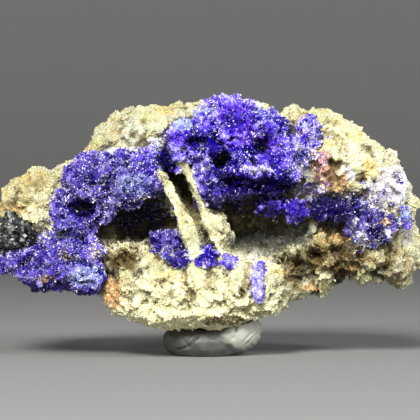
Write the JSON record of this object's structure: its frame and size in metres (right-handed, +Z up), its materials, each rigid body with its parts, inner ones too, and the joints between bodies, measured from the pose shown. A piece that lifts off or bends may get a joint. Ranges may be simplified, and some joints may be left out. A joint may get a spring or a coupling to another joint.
{
  "type": "linarite specimen",
  "caption": "Linarite crystal crusts on a cream iron-stained quartz matrix with a cave across its face, standing on a lump of mounting putty.",
  "frame": {"origin": "under the middle of the bounding box, on the surface that the putty stands on", "axes": "+Z up, +X along the specimen's length to the right when its face is seen, the crystal face looks along -Y"},
  "size_m": [0.054, 0.0238, 0.0329],
  "materials": {
    "matrix": "matte",
    "linarite": "gloss",
    "galena": "satin",
    "putty": "satin"
  },
  "bodies": {
    "root": {"matrix": "matrix", "linarite_shoulder": "linarite", "linarite_foot": "linarite", "linarite_crown": "linarite", "linarite_vug_lining": "linarite", "linarite_knot": "linarite", "linarite_chip": "linarite", "linarite_streak": "linarite", "linarite_ball": "linarite", "linarite_cheek": "linarite", "linarite_eye": "linarite", "linarite_drift": "linarite", "galena_patch": "galena", "mounting_putty": "putty"}
  },
  "joints": []
}
